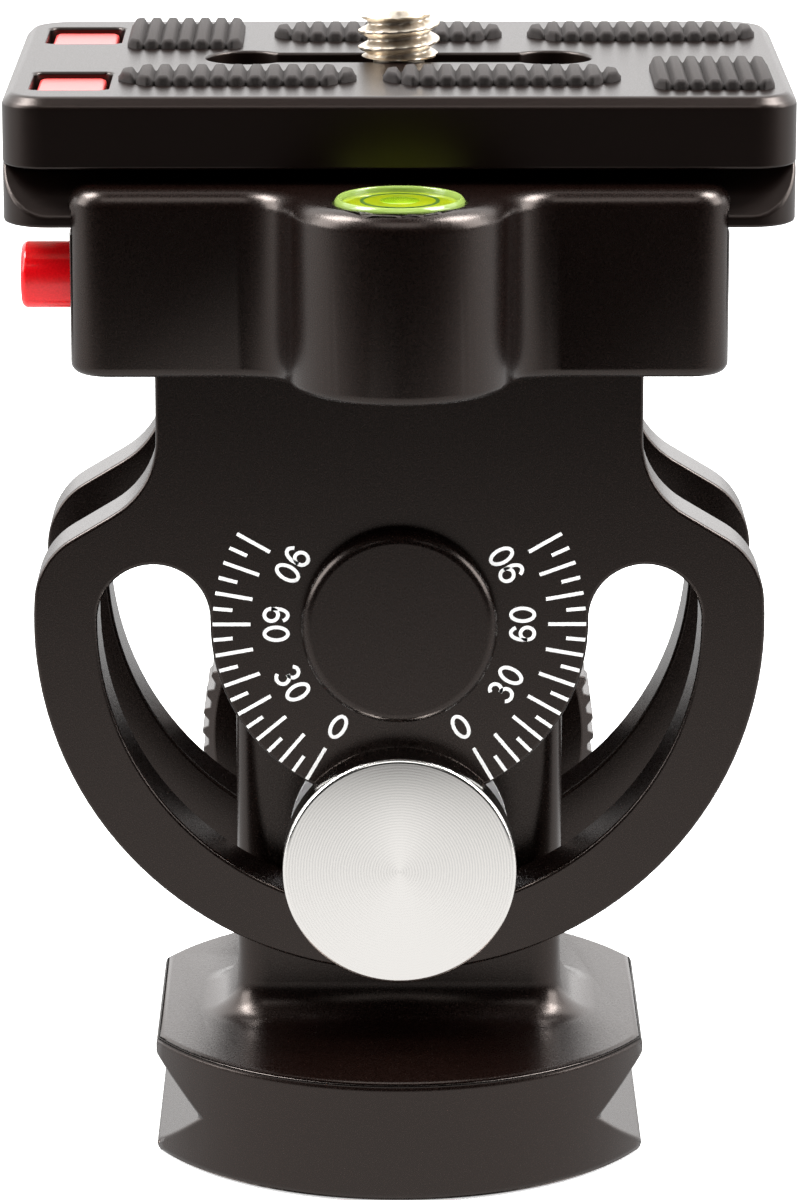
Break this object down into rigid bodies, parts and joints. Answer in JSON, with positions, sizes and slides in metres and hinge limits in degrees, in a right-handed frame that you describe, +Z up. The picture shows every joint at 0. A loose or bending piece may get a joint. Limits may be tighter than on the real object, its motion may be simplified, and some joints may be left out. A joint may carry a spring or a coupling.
{
  "type": "monopod tilt head",
  "caption": "Tilt head for a monopod: slotted yoke with a dial on a dovetail base, toothed lock knob, quick-release clamp with level, and camera plate.",
  "frame": {"origin": "centre of the base's underside, on the axis of the stand thread", "axes": "+Z up towards the camera, +Y away from the dial side along the tilt axis, +X along the camera plate, away from the safety button"},
  "size_m": [0.06, 0.0661, 0.0908],
  "materials": {
    "black_anodised": "satin black anodised, bead blasted",
    "stainless": "turned stainless steel",
    "friction": "pale low-friction plastic",
    "bronze": "plain turned bronze",
    "red_anodised": "red anodised, satin",
    "rubber": "matte ribbed rubber",
    "level_body": "clear acrylic",
    "level_liquid": "fluorescent yellow-green liquid",
    "level_air": "air bubble"
  },
  "bodies": {
    "base": {"base_post": "black_anodised", "thread_insert": "stainless", "pivot_bush_front": "bronze", "pivot_bush_rear": "bronze", "lock_bolt": "stainless", "lock_washer_front": "friction", "lock_washer_rear": "friction"},
    "lock_thrust": {"lock_thrust_washer": "stainless"},
    "lock_knob": {"lock_knob": "black_anodised", "lock_knob_bush": "bronze", "lock_knob_cap": "black_anodised"},
    "head": {"yoke": "black_anodised", "pivot_axle": "stainless", "pivot_cap_front": "black_anodised", "pivot_cap_rear": "black_anodised", "clamp_body": "black_anodised", "clamp_fixing_screws": "stainless", "level_cup": "level_body", "level_fluid": "level_liquid", "level_bubble": "level_air", "button_stop_pin": "stainless", "button_spring": "stainless", "safety_pin_spring": "stainless", "jaw_guide_pins": "stainless", "jaw_springs": "stainless", "clamp_stud": "stainless"},
    "clamp_jaw": {"clamp_jaw": "black_anodised", "clamp_knob_washer": "stainless"},
    "clamp_knob": {"clamp_knob": "black_anodised", "clamp_knob_bush": "bronze", "clamp_knob_cap": "black_anodised"},
    "safety_button": {"safety_button": "red_anodised"},
    "safety_pin": {"safety_pin": "stainless"},
    "camera_plate": {"camera_plate": "black_anodised", "grip_pads": "rubber", "catch_retainer": "stainless", "catch_spring_front": "stainless", "catch_spring_rear": "stainless"},
    "catch_front": {"catch_front": "red_anodised"},
    "catch_rear": {"catch_rear": "red_anodised"},
    "screw_carriage": {"screw_clip": "stainless"},
    "camera_screw": {"camera_screw": "stainless"}
  },
  "joints": [
    {"name": "tilt", "type": "hinge", "parent": "base", "child": "head", "pos_m": [0, 0, 0.0442], "axis": [0, 1, 0], "range_deg": [-90, 90]},
    {"name": "lock_release", "type": "slide", "parent": "base", "child": "lock_thrust", "axis": [0, 1, 0], "range_m": [0, 0.001]},
    {"name": "lock_knob_turn", "type": "hinge", "parent": "lock_thrust", "child": "lock_knob", "pos_m": [0, 0.02, 0.02505], "axis": [0, 1, 0], "range_deg": [0, 360]},
    {"name": "jaw_open", "type": "slide", "parent": "head", "child": "clamp_jaw", "axis": [0, 1, 0], "range_m": [0, 0.004], "deforming": ["jaw_springs"]},
    {"name": "clamp_knob_turn", "type": "hinge", "parent": "clamp_jaw", "child": "clamp_knob", "pos_m": [0, 0.03, 0.07132], "axis": [0, 1, 0], "range_deg": [0, 1800]},
    {"name": "button_press", "type": "slide", "parent": "head", "child": "safety_button", "axis": [1, 0, 0], "range_m": [0, 0.0025], "stiffness_N_per_m": 600, "springref_m": -0.001, "deforming": ["button_spring"]},
    {"name": "safety_pin_drop", "type": "slide", "parent": "head", "child": "safety_pin", "axis": [0, 0, -1], "range_m": [0, 0.0015], "deforming": ["safety_pin_spring"]},
    {"name": "plate_slide", "type": "slide", "parent": "head", "child": "camera_plate", "axis": [1, 0, 0], "range_m": [-0.008, 0.008]},
    {"name": "catch_front_press", "type": "slide", "parent": "camera_plate", "child": "catch_front", "axis": [0, 0, 1], "range_m": [0, 0.001], "stiffness_N_per_m": 500, "springref_m": -0.001, "deforming": ["catch_spring_front"]},
    {"name": "catch_rear_press", "type": "slide", "parent": "camera_plate", "child": "catch_rear", "axis": [0, 0, 1], "range_m": [0, 0.001], "stiffness_N_per_m": 500, "springref_m": -0.001, "deforming": ["catch_spring_rear"]},
    {"name": "screw_slide", "type": "slide", "parent": "camera_plate", "child": "screw_carriage", "axis": [1, 0, 0], "range_m": [-0.0096, 0.0096]},
    {"name": "screw_turn", "type": "hinge", "parent": "screw_carriage", "child": "camera_screw", "pos_m": [0, 0, 0.09], "axis": [0, 0, 1], "continuous": true}
  ],
  "couplings": [
    {"joint": "lock_knob_turn", "follows": "lock_release", "rad_per_m": 6283.1},
    {"joint": "clamp_knob_turn", "follows": "jaw_open", "rad_per_m": 7853.9},
    {"joint": "safety_pin_drop", "follows": "button_press", "ratio": 0.6}
  ]
}
